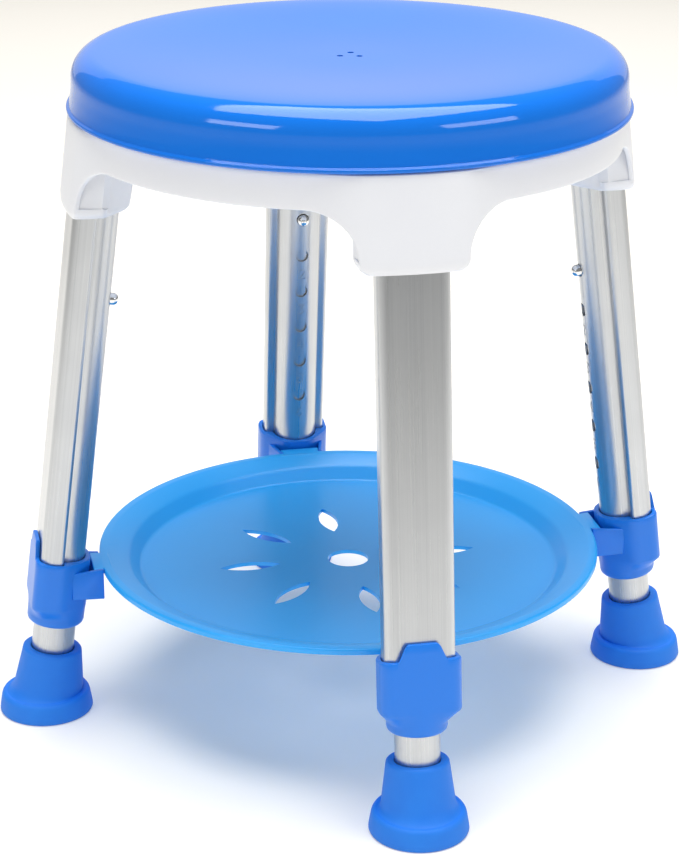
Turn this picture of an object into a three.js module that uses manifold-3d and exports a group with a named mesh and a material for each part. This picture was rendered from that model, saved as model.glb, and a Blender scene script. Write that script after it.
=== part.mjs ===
// Shower stool: a round swivel seat on a white base, four splayed telescopic legs that lock with
// snap buttons, and a perforated tray that hooks into a collar on each leg.
// Millimetres, +Z up, origin on the floor under the middle of the seat.
import * as THREE from "three";
import { mergeVertices } from "three/addons/utils/BufferGeometryUtils.js";
import Module from "manifold-3d";

const wasm = await Module();
wasm.setup();

// ---------------------------------------------------------------- driving dimensions

const GAP = 0.3; // clearance between pieces that touch

// Sides of a full circle, by the size of what is turned.
const SIDES = { seat: 48, skirt: 56, tray: 48, ring: 24, tube: 20, shaft: 12, screw: 8, hole: 6 };

const LEG_AZIMUTHS = { front_right: -45, rear_right: 45, rear_left: 135, front_left: 225 };
const FOOT_CIRCLE = 189; // from the stool's axis to the middle of each foot
const SPLAY = THREE.MathUtils.degToRad(7.28); // lean of each leg towards the stool's axis

const SEAT = {
  top: 400.3,
  radius: 159.2,
  lipRadius: 162.4,
  lipHeight: 3.4,
  flare: 11, // height at which the side starts to lean out towards the lip
  bottom: 367.7,
  wall: 3.5,
  shoulder: 14,
  dish: 4.5,
  dishFlat: 20,
  dishRadius: 138,
  ribs: 8,
  drains: 3,
  drainRadius: 1.9,
  drainCircle: 6.4,
};

const BASE = {
  radius: 157,
  wall: 3.2,
  top: 367.2,
  skirtBottom: 346.8,
  deck: 3,
  hubRadius: 20,
  hubBottom: 357,
  bossTop: 372,
  ribBottom: 352,
  ribWidth: 2.6,
};

// A socket holds the top of an outer tube. Its sizes are in the leg's own frame: x outwards,
// y across and z up along the leg.
const SOCKET = {
  halfWidth: 30,
  noseHalf: 9,
  taper: -4, // where the sides start to draw in towards the nose
  inner: -19.6,
  outer: 19.2,
  bottom: 314,
  rounding: 8,
  fillet: 27,
  roof: 358.6,
  blendStart: 22,
  blendEnd: 60,
};

const TURNTABLE = {
  ballCircle: 53,
  balls: 8,
  ballRadius: 4.3,
  ballHeight: 378.5,
  grooveRadius: 4.7,
  raceGap: 2.7, // from the ball's middle to the face of each race
  raceThickness: 3.5,
  lower: { inner: 34, outer: 63, screwCircle: 39 },
  upper: { inner: 43, outer: 72, screwCircle: 67.4 },
  screws: 3,
};

const PIVOT = {
  shank: 5,
  headCorner: 9.8,
  headBottom: 384.6,
  headTop: 391,
  washerRadius: 12,
  washerTop: 356.7,
  washerBottom: 354.7,
  nutBottom: 347.4,
  end: 346,
};

// The screws of the turntable: a pan head, a plain shank and the hole that each one passes.
const SCREW = { head: 3.4, headHeight: 2.1, shank: 1.8, pilot: 2.1, baseEnd: 365.5, seatEnd: 393 };
const SCREW_ANGLE = 22.5;

// The screw down through a socket's roof into the plug in the tube's end.
const LEG_SCREW = { head: 4, shank: 2, headBottom: 366.3, headTop: 369, end: 340, recess: 366 };

const OUTER_TUBE = {
  bumpRadius: 14.1,
  bore: 13,
  halfWidth: 20,
  outerFace: 14.1,
  lobeInner: 0.2,
  bottom: 72.6,
  top: 358,
};

const INNER_TUBE = { radius: 12.7, bore: 11.5, bottom: 7.8, top: 300 };

const HOLES = { first: 262.7, pitch: 25.4, count: 6, radius: 4.1 };

const PLUG = { hole: 2.4, radius: 12.5, bottom: 336, top: 357.7 };

const BUTTON = { radius: 3.7, base: -10.9, tip: -19, dome: 3.5 };

const LEAF = { width: 7, thickness: 0.8, steps: 12 };

const COLLAR = {
  halfWidth: 23,
  nose: -17.1,
  ringRadius: 17.1,
  bottom: 58.7,
  chamferLow: 64.5,
  chamferHigh: 73,
  rim: 102.3,
  tabTop: 112.7,
  ledge: 72.3,
};

// The bracket on a collar's nose, and the tab of the tray that hooks into it. Their plans are in
// the upright frame of the leg's azimuth: x outwards from the stool's axis, y across. The
// bracket's underside and floor are square to the leg, so those heights are along the leg.
const BRACKET = {
  tip: 152.6,
  root: 172,
  halfGap: 12,
  wing: 2.5,
  flare: 0.213,
  bottom: 79,
  floor: 81.3,
};
const TAB = { inner: 147, neck: 153.4, end: 158.2, bottom: 78.6 };

const TRAY = {
  radius: 152.7,
  rimTop: 94.1,
  rimBottom: 90.3,
  floorTop: 82,
  floorBottom: 79.6,
  drain: 12.5,
  petals: 8,
  petalInner: 42.5,
  petalOuter: 80,
  petalWidth: 11.5,
};

const FOOT = {
  flangeRadius: 28.2,
  flangeTop: 12.5,
  coneBase: 20.9,
  coneTop: 17.9,
  height: 40.8,
  bore: 13,
  seat: 5.7,
};

// ---------------------------------------------------------------- materials

const finish = (color, roughness, metalness = 0) =>
  new THREE.MeshStandardMaterial({ color, roughness, metalness });

const FINISH = {
  seatPlastic: finish(0x1c6fe0, 0.16),
  basePlastic: finish(0xe9e9ee, 0.38),
  bluePlastic: finish(0x2f86e8, 0.42),
  footRubber: finish(0x2d7bdb, 0.6),
  aluminium: finish(0xb9bbc0, 0.34, 1),
  steel: finish(0x9da1a6, 0.3, 1),
  chrome: finish(0xd9dbde, 0.08, 1),
  springSteel: finish(0x6d7075, 0.35, 1),
  nylon: finish(0xd6d4cc, 0.5),
};

// ---------------------------------------------------------------- solids

/** A geometry as a manifold solid, without the empty triangles that close up at a pole. */
function solidOf(geometry) {
  const bare = geometry.index ? geometry.toNonIndexed() : geometry.clone();
  bare.deleteAttribute("normal");
  bare.deleteAttribute("uv");
  const merged = mergeVertices(bare, 1e-4);
  const corners = merged.index.array;
  const triVerts = [];
  for (let i = 0; i < corners.length; i += 3) {
    const [a, b, c] = corners.slice(i, i + 3);
    if (a !== b && b !== c && c !== a) triVerts.push(a, b, c);
  }
  const vertProperties = merged.attributes.position.array;
  return new wasm.Manifold(
    new wasm.Mesh({ numProp: 3, vertProperties, triVerts: new Uint32Array(triVerts) }),
  );
}

/** A manifold solid as a geometry. */
function geometryOf(solid) {
  const { vertProperties, triVerts } = solid.getMesh();
  const geometry = new THREE.BufferGeometry();
  geometry.setAttribute("position", new THREE.BufferAttribute(vertProperties, 3));
  geometry.setIndex(new THREE.BufferAttribute(triVerts, 1));
  geometry.computeVertexNormals();
  return geometry;
}

function combine(method, geometries) {
  const [first, ...others] = geometries.map(solidOf);
  return geometryOf(others.reduce((whole, other) => whole[method](other), first));
}

const join = (...geometries) => combine("add", geometries);
const cut = (...geometries) => combine("subtract", geometries);
const common = (...geometries) => combine("intersect", geometries);

/** Points of a closed outline through corners [x, y, radius], each rounded by its own radius. */
function outline(corners, stepDegrees = 30) {
  const step = THREE.MathUtils.degToRad(stepDegrees);
  const at = (index) => {
    const [x, y] = corners[(index + corners.length) % corners.length];
    return new THREE.Vector2(x, y);
  };
  return corners.flatMap(([, , radius = 0], index) => {
    const corner = at(index);
    if (radius === 0) return [corner];
    const back = at(index - 1).sub(corner).normalize();
    const ahead = at(index + 1).sub(corner).normalize();
    const half = Math.acos(back.dot(ahead)) / 2;
    const reach = radius / Math.sin(half);
    const centre = back.clone().add(ahead).normalize().multiplyScalar(reach).add(corner);
    const tangent = back.clone().multiplyScalar(radius / Math.tan(half)).add(corner);
    const start = tangent.sub(centre).angle();
    const turn = (Math.PI - 2 * half) * Math.sign(ahead.cross(back));
    const steps = Math.max(1, Math.round(Math.abs(turn) / step));
    return Array.from({ length: steps + 1 }, (_, k) => {
      const angle = start + (turn * k) / steps;
      return new THREE.Vector2(Math.cos(angle), Math.sin(angle)).multiplyScalar(radius).add(centre);
    });
  });
}

/** Points of a circle about (x, y). */
function circle(radius, segments, x = 0, y = 0) {
  return Array.from({ length: segments }, (_, k) => {
    const angle = (2 * Math.PI * k) / segments;
    return new THREE.Vector2(x + radius * Math.cos(angle), y + radius * Math.sin(angle));
  });
}

/** A body turned about Z from a closed profile of corners [radius, z, rounding]. */
function turned(profile, segments, stepDegrees = 45) {
  const points = outline(profile, stepDegrees);
  points.push(points[0].clone());
  const geometry = new THREE.LatheGeometry(points, segments);
  return geometryOf(solidOf(geometry.rotateX(Math.PI / 2)));
}

/** A prism of a closed outline in the XY plane, from z = low to z = high. */
function prism(points, low, high) {
  const shape = new THREE.Shape(points);
  const geometry = new THREE.ExtrudeGeometry(shape, { depth: high - low, bevelEnabled: false });
  return geometry.translate(0, 0, low);
}

/** A prism of a closed outline in the YZ plane, from x = low to x = high. */
function prismAlongX(points, low, high) {
  const turn = new THREE.Matrix4().makeBasis(
    new THREE.Vector3(0, 1, 0),
    new THREE.Vector3(0, 0, 1),
    new THREE.Vector3(1, 0, 0),
  );
  return prism(points, low, high).applyMatrix4(turn);
}

/** A solid through closed loops of points, each above the last, with a fan over each end. */
function loft(loops) {
  const count = loops[0].length;
  const middle = (loop) =>
    loop.reduce((sum, point) => sum.add(point), new THREE.Vector3()).divideScalar(count);
  const points = [...loops.flat(), middle(loops[0]), middle(loops.at(-1))];
  const lowEnd = points.length - 2;
  const highEnd = points.length - 1;
  const index = [];
  for (let k = 0; k < count; k += 1) {
    const next = (k + 1) % count;
    for (let level = 0; level < loops.length - 1; level += 1) {
      const low = level * count;
      const high = low + count;
      index.push(low + k, low + next, high + next, low + k, high + next, high + k);
    }
    const top = (loops.length - 1) * count;
    index.push(lowEnd, next, k, highEnd, top + k, top + next);
  }
  const geometry = new THREE.BufferGeometry().setFromPoints(points);
  geometry.setIndex(index);
  return geometry;
}

/** The same points as a loop at height z. */
const loopAt = (points, z) => points.map(({ x, y }) => new THREE.Vector3(x, y, z));

/** The outline with points added so that no side is longer than a limit. */
const divided = (points, limit) =>
  points.flatMap((point, k) => {
    const next = points[(k + 1) % points.length];
    const steps = Math.ceil(point.distanceTo(next) / limit);
    return Array.from({ length: steps }, (_, i) => point.clone().lerp(next, i / steps));
  });

/** Copies of a geometry turned about Z, at equal steps from a first angle in degrees. */
function around(geometry, count, firstDegrees = 0) {
  return Array.from({ length: count }, (_, k) => {
    const angle = THREE.MathUtils.degToRad(firstDegrees) + (2 * Math.PI * k) / count;
    return geometry.clone().rotateZ(angle);
  });
}

/** Turns a geometry from the leg's own frame into the stool's frame. */
function placeOnLeg(geometry, azimuth) {
  return geometry
    .clone()
    .rotateY(-SPLAY)
    .translate(FOOT_CIRCLE, 0, 0)
    .rotateZ(THREE.MathUtils.degToRad(azimuth));
}

/** Turns a geometry from the upright frame of a leg's azimuth into the leg's own frame. */
const uprightToLeg = (geometry) => geometry.translate(-FOOT_CIRCLE, 0, 0).rotateY(SPLAY);

const legAngles = Object.values(LEG_AZIMUTHS);

// ---------------------------------------------------------------- seat and turntable

/** The dished top's profile from the middle out, lowered by drop. */
function dishProfile(drop) {
  const { top, dish, dishFlat, dishRadius } = SEAT;
  const rise = [0, 0.3, 0.55, 0.8, 1].map((share) => [
    THREE.MathUtils.lerp(dishFlat, dishRadius, share),
    top - drop - dish * (1 - share ** 2),
  ]);
  return [[0, top - drop - dish], ...rise];
}

function seatShell() {
  const { top, radius, lipRadius, lipHeight, flare, bottom, wall, shoulder, dish, ribs } = SEAT;
  const under = top - wall;
  const shell = turned(
    [
      ...dishProfile(wall),
      [radius - wall - 4, under],
      [radius - wall, under - 6],
      [radius - wall, bottom],
      [lipRadius - 1, bottom],
      [lipRadius, bottom + 1.2],
      [lipRadius - 0.5, bottom + lipHeight],
      [radius, bottom + flare],
      [radius, top, shoulder],
      ...dishProfile(0).reverse(),
    ],
    SIDES.seat,
    25,
  );
  const { upper, raceGap, raceThickness, ballHeight, screws } = TURNTABLE;
  const { head, pilot, seatEnd } = SCREW;
  const bossBottom = ballHeight + raceGap + raceThickness + GAP;
  const bossTop = under - dish / 2;
  const ring = (inner, outer, low) =>
    turned([[inner, low], [outer, low], [outer, bossTop], [inner, bossTop]], SIDES.ring);
  const hub = turned([[0, 379], [17, 379], [17, bossTop], [0, bossTop]], SIDES.shaft);
  const ribEnd = radius - wall - 5;
  const ribTop = dishProfile(wall - 0.6).slice(1);
  const rib = prism(
    outline([[15, 388], [ribEnd, 388], [ribEnd, under + 0.6], ...ribTop.reverse(), [15, 391]]),
    -1.2,
    1.2,
  ).rotateX(Math.PI / 2);
  const hole = prism(circle(pilot, SIDES.hole, upper.screwCircle), bossBottom - 1, seatEnd + GAP);
  const drain = prism(circle(SEAT.drainRadius, SIDES.screw, SEAT.drainCircle), PIVOT.headTop, top);
  return cut(
    join(
      shell,
      hub,
      ring(upper.inner, upper.inner + head + 0.6, bossBottom),
      ring(upper.outer - 10, upper.outer + 1, bossBottom),
      ...around(rib, ribs),
    ),
    prism(circle(PIVOT.headCorner + 0.4, 6), PIVOT.headBottom - GAP, PIVOT.headTop + GAP),
    prism(circle(PIVOT.shank + GAP, SIDES.shaft), 370, PIVOT.headBottom),
    ...around(hole, screws, SCREW_ANGLE),
    ...around(drain, SEAT.drains),
  );
}

/** One race of the turntable, its groove facing the balls: side is -1 below them, 1 above. */
function race({ inner, outer, screwCircle }, side) {
  const { ballCircle, ballHeight, grooveRadius, raceGap, raceThickness, screws } = TURNTABLE;
  const face = ballHeight + side * raceGap;
  const back = ballHeight + side * (raceGap + raceThickness);
  const edge = Math.acos(raceGap / grooveRadius);
  const groove = [-1, -0.35, 0.35, 1].map((part) => [
    ballCircle + grooveRadius * Math.sin(part * edge),
    ballHeight + side * grooveRadius * Math.cos(part * edge),
  ]);
  const faceSide = [[inner, face], ...groove, [outer, face]];
  const backSide = [[inner, back], [outer, back]];
  const [lowSide, highSide] = side < 0 ? [backSide, faceSide] : [faceSide, backSide];
  const low = Math.min(face, back) - 1;
  const high = Math.max(face, back) + 1;
  const profile = [...lowSide, ...highSide.reverse()];
  const hole = prism(circle(SCREW.pilot, SIDES.hole, screwCircle), low, high);
  return cut(turned(profile, SIDES.ring), ...around(hole, screws, SCREW_ANGLE));
}

function ballCage() {
  const { ballCircle, ballHeight, ballRadius, balls } = TURNTABLE;
  const half = 1;
  const ring = turned(
    [
      [ballCircle - 7.5, ballHeight - half],
      [ballCircle + 7.5, ballHeight - half],
      [ballCircle + 7.5, ballHeight + half],
      [ballCircle - 7.5, ballHeight + half],
    ],
    SIDES.ring,
  );
  const pocketOutline = circle(ballRadius + 0.4, SIDES.screw, ballCircle);
  const pocket = prism(pocketOutline, ballHeight - 2, ballHeight + 2);
  return cut(ring, ...around(pocket, balls));
}

/** A pan-head screw along Z: its head between headLow and headHigh, its shank down to end. */
function screw(headRadius, shankRadius, headLow, headHigh, end) {
  const up = headHigh > end;
  const shankEnd = Math.min(end, headLow);
  const profile = up
    ? [
        [0, shankEnd],
        [shankRadius, shankEnd],
        [shankRadius, headLow],
        [headRadius, headLow],
        [headRadius, headHigh, 0.8],
        [0, headHigh],
      ]
    : [
        [0, headLow],
        [headRadius, headLow, 0.8],
        [headRadius, headHigh],
        [shankRadius, headHigh],
        [shankRadius, end],
        [0, end],
      ];
  return turned(profile, SIDES.screw, 90);
}

function pivotBolt() {
  const { shank, headCorner, headBottom, headTop, end } = PIVOT;
  const head = prism(circle(headCorner, 6), headBottom, headTop);
  return join(head, prism(circle(shank, SIDES.shaft), end, headTop - 1));
}

const washer = (inner, outer, low, high) =>
  turned([[inner, low], [outer, low], [outer, high], [inner, high]], SIDES.shaft);

const pivotWasher = () =>
  washer(PIVOT.shank + GAP, PIVOT.washerRadius, PIVOT.washerBottom, PIVOT.washerTop);

const pivotNut = () =>
  cut(
    prism(circle(PIVOT.headCorner, 6), PIVOT.nutBottom, PIVOT.washerBottom - GAP),
    prism(circle(PIVOT.shank + GAP, SIDES.shaft), PIVOT.end, PIVOT.washerTop),
  );

// ---------------------------------------------------------------- base

/** How far a point at an angle from the nearest leg belongs to its socket: 1 over it, 0 away. */
function socketShare(angle) {
  const quarter = Math.PI / 2;
  const first = THREE.MathUtils.degToRad(legAngles[0]);
  const offset = (((angle - first) % quarter) + quarter) % quarter;
  const arc = Math.min(offset, quarter - offset) * BASE.radius;
  return 1 - THREE.MathUtils.smoothstep(arc, SOCKET.blendStart, SOCKET.blendEnd);
}

/** The base's outer wall, set inwards by inset, as a solid between the given heights. */
function baseWall(levels, inset) {
  const faceAt = (z) => FOOT_CIRCLE - z * Math.tan(SPLAY) + SOCKET.outer / Math.cos(SPLAY);
  const angles = circle(1, SIDES.skirt);
  const loops = levels.map(([z, rounding]) =>
    angles.map(({ x, y }) => {
      const share = socketShare(Math.atan2(y, x));
      const radius = THREE.MathUtils.lerp(BASE.radius, faceAt(z), share) - rounding - inset;
      return new THREE.Vector3(x * radius, y * radius, z);
    }),
  );
  return loft(loops);
}

/** The solid block round a tube's top, in the leg's own frame, rounded at its lower end. */
function socketBlock() {
  const { halfWidth, noseHalf, taper, inner, outer, bottom, rounding } = SOCKET;
  const full = outline([
    [inner, -noseHalf, 6],
    [taper, -halfWidth, 6],
    [outer - 3, -halfWidth, 8],
    [outer - 3, halfWidth, 8],
    [taper, halfWidth, 6],
    [inner, noseHalf, 6],
  ]);
  const mouth = full.map(({ x, y }) => new THREE.Vector2(x * (x < 0 ? 0.79 : 0.92), y * 0.72));
  const loops = [0, 45, 90].map((degrees) => {
    const angle = THREE.MathUtils.degToRad(degrees);
    const points = mouth.map((point, k) => point.clone().lerp(full[k], Math.sin(angle)));
    return loopAt(points, bottom + rounding * (1 - Math.cos(angle)));
  });
  return loft([...loops, loopAt(full, 378)]);
}

/** The outline of an outer tube grown by a margin, as a solid in the leg's own frame. */
function tubeBody(grow, low, high) {
  const { bumpRadius, halfWidth, outerFace, lobeInner } = OUTER_TUBE;
  const y = halfWidth + grow;
  const x0 = lobeInner - grow;
  const x1 = outerFace + grow;
  const lobes = outline([[x0, -y, 2.5], [x1, -y, 5.5], [x1, y, 5.5], [x0, y, 2.5]], 45);
  return join(prism(circle(bumpRadius + grow, SIDES.tube), low, high), prism(lobes, low, high));
}

function baseFrame() {
  const { top, deck, skirtBottom, wall, hubRadius, hubBottom, bossTop, ribBottom, ribWidth } = BASE;
  const { halfWidth, fillet, bottom, rounding, roof } = SOCKET;
  const deckUnder = top - deck;
  const cup = cut(
    baseWall([[309, 4], [312.5, 2.6], [319.5, 0], [top, 0]], 0),
    baseWall([[300, 0], [deckUnder, 0]], wall),
  );
  const low = bottom * Math.cos(SPLAY);
  const apron = prismAlongX(
    outline([
      [-halfWidth, low, rounding],
      [halfWidth, low, rounding],
      [halfWidth, skirtBottom, fillet],
      [64, skirtBottom],
      [64, skirtBottom + 5],
      [-64, skirtBottom + 5],
      [-64, skirtBottom],
      [-halfWidth, skirtBottom, fillet],
    ]),
    118,
    180,
  );
  const aprons = around(apron, legAngles.length, legAngles[0]);
  const skirt = common(cup, join(prism(circle(185, SIDES.shaft), skirtBottom, 380), ...aprons));

  const underDeck = prism(circle(150, SIDES.ring), 300, top - 0.2);
  const blocks = legAngles.map((azimuth) => common(placeOnLeg(socketBlock(), azimuth), underDeck));
  const hub = prism(circle(hubRadius, SIDES.tube), hubBottom, bossTop);
  const boss = turned([[33, deckUnder], [64, deckUnder], [64, bossTop], [33, bossTop]], SIDES.ring);
  const ribOutline = outline([
    [-ribWidth / 2, ribBottom],
    [ribWidth / 2, ribBottom],
    [ribWidth / 2, deckUnder + 1],
    [-ribWidth / 2, deckUnder + 1],
  ]);
  const legRib = prismAlongX(ribOutline, hubRadius - 1, 126);
  const skirtRib = prismAlongX(ribOutline, hubRadius - 1, BASE.radius - 2);
  const body = join(
    skirt,
    ...blocks,
    hub,
    boss,
    ...around(legRib, 4, 45),
    ...around(skirtRib, 4),
  );

  const legCuts = legAngles.flatMap((azimuth) =>
    [
      tubeBody(GAP, bottom - 10, roof),
      prism(outline([[-30, -45], [45, -45], [45, 45], [-30, 45]]), 280, bottom),
      prism(circle(LEG_SCREW.shank + 0.4, SIDES.hole), roof - 1, LEG_SCREW.headTop),
      prism(circle(LEG_SCREW.head + 1, SIDES.screw), LEG_SCREW.recess, 380),
    ].map((tool) => placeOnLeg(tool, azimuth)),
  );
  const { lower, screws } = TURNTABLE;
  const pilot = circle(SCREW.pilot, SIDES.hole, lower.screwCircle);
  const hole = prism(pilot, SCREW.baseEnd - GAP, bossTop + 1);
  return cut(
    body,
    ...legCuts,
    prism(circle(PIVOT.shank + 0.4, SIDES.shaft), 340, 380),
    ...around(hole, screws, SCREW_ANGLE),
  );
}

// ---------------------------------------------------------------- legs

function outerTube() {
  const { bore, bottom, top, halfWidth, outerFace, bumpRadius } = OUTER_TUBE;
  const low = bottom - 5;
  const high = top + 5;
  const wall = outerFace - bore + 0.5;
  const pocketOutline = outline(
    [
      [1.8, 8.5],
      [outerFace - wall, 8.5],
      [outerFace - wall, halfWidth - wall, 3.5],
      [1.8, halfWidth - wall],
    ],
    90,
  );
  const web = prism(circle(bumpRadius + 0.2, SIDES.tube), low - 1, high + 1);
  const pocket = cut(prism(pocketOutline, low, high), web);
  const holes = Array.from({ length: HOLES.count }, (_, k) =>
    prismAlongX(circle(HOLES.radius, SIDES.screw, 0, HOLES.first - k * HOLES.pitch), -20, 0),
  );
  return cut(
    tubeBody(0, bottom, top),
    prism(circle(bore, SIDES.tube), low, high),
    pocket,
    pocket.clone().rotateX(Math.PI).translate(0, 0, low + high),
    ...holes,
  );
}

function endPlug() {
  const { hole, radius, bottom, top } = PLUG;
  return turned(
    [[hole, bottom], [radius - 0.7, bottom], [radius, bottom + 2], [radius, top], [hole, top]],
    SIDES.shaft,
  );
}

function innerTube() {
  const { radius, bore, bottom, top } = INNER_TUBE;
  const tube = turned([[bore, bottom], [radius, bottom], [radius, top], [bore, top]], SIDES.tube);
  return cut(tube, prismAlongX(circle(HOLES.radius, SIDES.screw, 0, HOLES.first), -20, 0));
}

/** A bent leaf spring: one arm behind the button, a bend below and an arm against the far wall. */
function vSpring() {
  const bends = [
    [-10.2, 6],
    [-10.2, -12],
    [-9.4, -42],
    [-5, -58],
    [0, -62],
    [5, -58],
    [9.4, -42],
    [10.2, -8],
  ];
  const line = new THREE.SplineCurve(bends.map(([x, z]) => new THREE.Vector2(x, HOLES.first + z)));
  const { width, thickness, steps } = LEAF;
  const side = (sign) =>
    Array.from({ length: steps + 1 }, (_, k) => {
      const along = line.getTangent(k / steps);
      const aside = new THREE.Vector2(-along.y, along.x).multiplyScalar((sign * thickness) / 2);
      return line.getPoint(k / steps).add(aside);
    });
  const leaf = prism([...side(-1), ...side(1).reverse()], -width / 2, width / 2);
  return leaf.rotateX(Math.PI / 2);
}

function snapButton() {
  const { radius, base, tip, dome } = BUTTON;
  const body = turned(
    [
      [0, base],
      [0, tip],
      [radius * 0.7, tip + 0.8],
      [radius - 0.3, tip + dome - 0.9],
      [radius, tip + dome],
      [radius, base],
    ],
    SIDES.screw,
  );
  return body.rotateY(Math.PI / 2).translate(0, 0, HOLES.first);
}

function collar() {
  const { halfWidth, nose, ringRadius, bottom, chamferLow, chamferHigh } = COLLAR;
  const { rim, tabTop, ledge } = COLLAR;
  const corners = outline(
    [
      [ringRadius, -halfWidth, 7],
      [ringRadius, halfWidth, 7],
      [-1, halfWidth, 11],
      [nose, 8.4, 11],
      [nose, -8.4, 11],
      [-1, -halfWidth, 11],
    ],
    24,
  );
  const plan = divided(corners, 7);
  const ring = (radius, z) =>
    loopAt(plan.map((point) => point.clone().setLength(radius)), z);
  const blank = loft([
    ring(ringRadius - 1.8, bottom),
    ring(ringRadius, bottom + 2.5),
    ring(ringRadius, chamferLow),
    loopAt(plan, chamferHigh),
    loopAt(plan, tabTop + 2),
  ]);
  const tabOutline = outline(
    [
      [-30, 50],
      [30, 50],
      [30, rim],
      [14.5, rim],
      [10.5, tabTop, 4],
      [-10.5, tabTop, 4],
      [-14.5, rim],
      [-30, rim],
    ],
    45,
  );
  const front = prismAlongX(tabOutline, 0, 30);
  const back = prismAlongX(outline([[-30, 50], [30, 50], [30, rim], [-30, rim]]), -30, 0.5);
  const body = common(blank, join(front, back));

  const { tip, root, halfGap, wing, flare, bottom: bracketBottom, floor } = BRACKET;
  const spread = (x) => halfGap + (x - tip) * flare;
  const wingPlan = [
    [tip, spread(tip)],
    [root, spread(root)],
    [root, spread(root) + wing],
    [tip, spread(tip) + wing],
  ];
  const wings = [1, -1].map((side) => {
    const points = wingPlan.map(([x, y]) => new THREE.Vector2(x, side * y));
    return uprightToLeg(prism(points, 60, TRAY.rimTop));
  });
  const plateOutline = outline([[tip + 0.6, -13], [164, -13], [164, 13], [tip + 0.6, 13]]);
  const plate = uprightToLeg(prism(plateOutline, 60, 90));
  const reach = outline([[-60, -40], [10, -40], [10, 40], [-60, 40]]);
  return cut(
    join(
      body,
      ...wings.map((wing) => common(wing, prism(reach, bracketBottom, 120))),
      common(plate, prism(reach, bracketBottom, floor)),
    ),
    tubeBody(GAP, ledge, tabTop + 5),
    prism(circle(OUTER_TUBE.bore + 0.1, SIDES.tube), bottom - 1, ledge + 1),
  );
}

function legScrew() {
  const { head, shank, headBottom, headTop, end } = LEG_SCREW;
  return screw(head, shank, headBottom, headTop, end);
}

// ---------------------------------------------------------------- feet

function foot() {
  const { flangeRadius, flangeTop, coneBase, coneTop, height, bore, seat } = FOOT;
  const flange = turned(
    [[0, 0], [flangeRadius, 0], [flangeRadius - 1.6, flangeTop, 4], [0, flangeTop]],
    SIDES.tube,
  );
  const cone = turned([[0, 4], [coneBase, 4], [coneTop, height], [0, height]], SIDES.tube);
  return cut(
    join(uprightToLeg(flange.translate(FOOT_CIRCLE, 0, 0)), cone),
    prism(circle(bore, SIDES.tube), seat, height + 1),
  );
}

const footWasher = () => washer(4, 12, FOOT.seat + GAP, INNER_TUBE.bottom - GAP);

// ---------------------------------------------------------------- tray

function tray() {
  const { radius, rimTop, rimBottom, floorTop, floorBottom, drain } = TRAY;
  const { petals, petalInner, petalOuter, petalWidth } = TRAY;
  const bowl = turned(
    [
      [0, floorBottom],
      [129, floorBottom],
      [136.5, 86.4],
      [148, rimBottom],
      [radius, rimBottom],
      [radius, rimTop - 0.6],
      [radius - 1, rimTop],
      [148, rimTop],
      [135, 89.4, 8],
      [127.6, floorTop],
      [0, floorTop],
    ],
    SIDES.tray,
  );
  const petalLength = petalOuter - petalInner;
  const petalMiddle = (petalOuter + petalInner) / 2;
  const bow = (petalLength ** 2 / 4 + petalWidth ** 2 / 4) / petalWidth; // radius of each side
  const sweep = Math.asin(petalLength / 2 / bow);
  const petalSide = (sign) =>
    [-1, -0.5, 0, 0.5].map((part) => {
      const angle = part * sweep;
      const x = petalMiddle + sign * bow * Math.sin(angle);
      return new THREE.Vector2(x, sign * (petalWidth / 2 - bow * (1 - Math.cos(angle))));
    });
  const petal = prism([...petalSide(-1), ...petalSide(1)].reverse(), floorBottom - 2, floorTop + 2);

  const spread = (x) => BRACKET.halfGap - GAP + (x - BRACKET.tip) * BRACKET.flare;
  const across = (x0, x1) =>
    outline([[x0, -spread(x0)], [x1, -spread(x1)], [x1, spread(x1)], [x0, spread(x0)]]);
  const tab = join(
    prism(across(TAB.inner, TAB.end), rimBottom, rimTop),
    prism(across(TAB.neck, TAB.end), TAB.bottom, rimTop),
  );
  return cut(
    join(bowl, ...around(tab, legAngles.length, legAngles[0])),
    prism(circle(drain, SIDES.tube), floorBottom - 2, floorTop + 2),
    ...around(petal, petals, legAngles[0]),
  );
}

// ---------------------------------------------------------------- assembly

function piece(name, geometry, material, parent) {
  const mesh = new THREE.Mesh(geometry, material);
  mesh.name = name;
  parent.add(mesh);
  return mesh;
}

const stool = new THREE.Group();

piece("seat_shell", seatShell(), FINISH.seatPlastic, stool);
piece("base_frame", baseFrame(), FINISH.basePlastic, stool);
piece("tray", tray(), FINISH.bluePlastic, stool);
piece("turntable_lower_race", race(TURNTABLE.lower, -1), FINISH.steel, stool);
piece("turntable_upper_race", race(TURNTABLE.upper, 1), FINISH.steel, stool);
piece("ball_cage", ballCage(), FINISH.nylon, stool);
piece("pivot_bolt", pivotBolt(), FINISH.steel, stool);
piece("pivot_washer", pivotWasher(), FINISH.steel, stool);
piece("pivot_nut", pivotNut(), FINISH.steel, stool);

for (let k = 0; k < TURNTABLE.balls; k += 1) {
  const ring = new THREE.Group();
  ring.rotation.z = (2 * Math.PI * k) / TURNTABLE.balls;
  const ball = new THREE.SphereGeometry(TURNTABLE.ballRadius, SIDES.hole, 6);
  const mesh = piece(`bearing_ball_${k + 1}`, geometryOf(solidOf(ball)), FINISH.chrome, ring);
  mesh.position.set(TURNTABLE.ballCircle, 0, TURNTABLE.ballHeight);
  stool.add(ring);
}

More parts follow.
